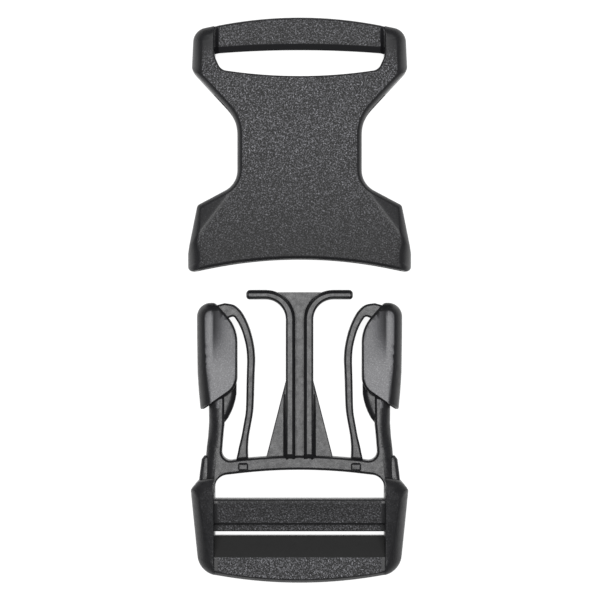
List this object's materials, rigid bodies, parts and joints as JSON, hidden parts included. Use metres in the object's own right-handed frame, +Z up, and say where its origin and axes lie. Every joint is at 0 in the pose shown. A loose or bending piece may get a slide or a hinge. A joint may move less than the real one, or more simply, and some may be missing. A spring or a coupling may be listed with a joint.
{
  "type": "side release buckle",
  "caption": "Side release buckle for flat webbing: a flat hourglass socket with a webbing bar, and a plug with a guide stem, two sprung arms and an adjuster ladder.",
  "frame": {"origin": "middle of the whole length and width as the two halves lie apart, on the resting face", "axes": "+X across the webbing to the right, +Y along the webbing from the plug towards the socket, +Z up out of the resting face"},
  "size_m": [0.0512, 0.1294, 0.012],
  "materials": {
    "socket_plastic": "moulded acetal with a fine spark eroded grain",
    "plug_plastic": "moulded acetal, satin, with fine grain on the bars and heads"
  },
  "bodies": {
    "socket": {"socket": "socket_plastic"},
    "plug": {"plug_frame": "plug_plastic"},
    "left_arm": {"left_arm": "plug_plastic", "left_spring": "plug_plastic"},
    "right_arm": {"right_arm": "plug_plastic", "right_spring": "plug_plastic"}
  },
  "joints": [
    {"name": "plug_slide", "type": "slide", "parent": "socket", "child": "plug", "axis": [0, 1, 0], "range_m": [0, 0.0474], "deforming": ["left_arm", "right_arm", "left_spring", "right_spring"]},
    {"name": "left_arm_flex", "type": "hinge", "parent": "plug", "child": "left_arm", "pos_m": [-0.01975, -0.03717, 0.006], "axis": [0, 0, -1], "range_deg": [0, 10], "stiffness_Nm_per_rad": 2, "deforming": ["left_spring"]},
    {"name": "right_arm_flex", "type": "hinge", "parent": "plug", "child": "right_arm", "pos_m": [0.01975, -0.03717, 0.006], "axis": [0, 0, 1], "range_deg": [0, 10], "stiffness_Nm_per_rad": 2, "deforming": ["right_spring"]}
  ]
}
